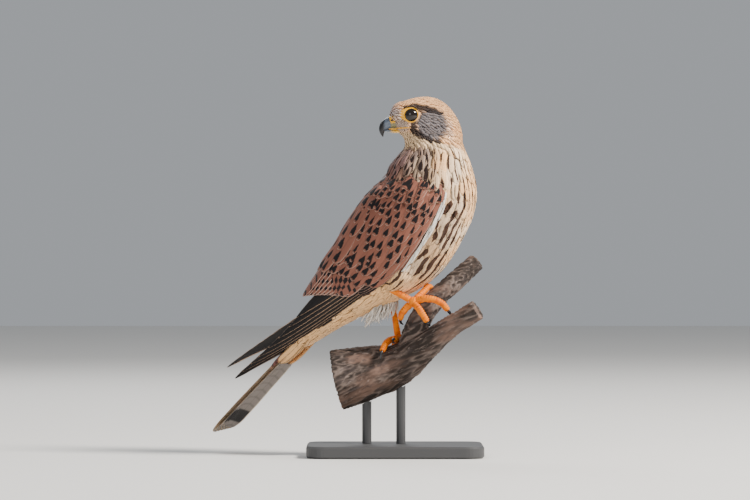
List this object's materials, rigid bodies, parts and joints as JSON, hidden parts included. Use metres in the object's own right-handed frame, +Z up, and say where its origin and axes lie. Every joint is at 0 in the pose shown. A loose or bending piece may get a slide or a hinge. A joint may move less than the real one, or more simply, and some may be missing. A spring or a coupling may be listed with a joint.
{
  "type": "common kestrel on a perch",
  "caption": "Life-size common kestrel looking back over its shoulder, gripping a short fork of branch held by a plain display stand.",
  "frame": {"origin": "centre of the underside of the stand's base", "axes": "+Z up from the base, +X the way the breast faces in the side view, -Y towards the viewer of that side"},
  "size_m": [0.2334, 0.1268, 0.3065],
  "materials": {
    "buff_feather": "soft body feathers, buff with dark brown streaks",
    "rufous_feather": "rufous feathers with black bars and pale edges",
    "flight_feather": "black-brown flight feathers with thin buff edges",
    "tail_feather": "barred rufous above, grey below, dark band near the tip",
    "bill": "smooth blue-grey horn, black at the tip",
    "cere": "waxy yellow skin",
    "eye": "dark brown and glossy",
    "foot_skin": "orange-yellow scaled skin",
    "claw": "black glossy horn",
    "bark": "dry weathered grey bark",
    "stand": "plain dark satin paint"
  },
  "bodies": {
    "root": {"bill_lower": "bill", "bill_upper": "bill", "cere": "cere", "claw_left_hind": "claw", "claw_left_inner": "claw", "claw_left_middle": "claw", "claw_left_outer": "claw", "claw_right_hind": "claw", "claw_right_inner": "claw", "claw_right_middle": "claw", "claw_right_outer": "claw", "eye_left": "eye", "eye_right": "eye", "foot_left": "foot_skin", "foot_right": "foot_skin", "head": "buff_feather", "neck": "buff_feather", "perch": "bark", "stand_base": "stand", "stand_rod_1": "stand", "stand_rod_2": "stand", "tail": "tail_feather", "tarsus_left": "foot_skin", "tarsus_right": "foot_skin", "thigh_left": "buff_feather", "thigh_right": "buff_feather", "torso": "buff_feather", "wing_left_arm": "rufous_feather", "wing_left_primaries": "flight_feather", "wing_left_secondaries": "rufous_feather", "wing_right_arm": "rufous_feather", "wing_right_primaries": "flight_feather", "wing_right_secondaries": "rufous_feather"}
  },
  "joints": []
}
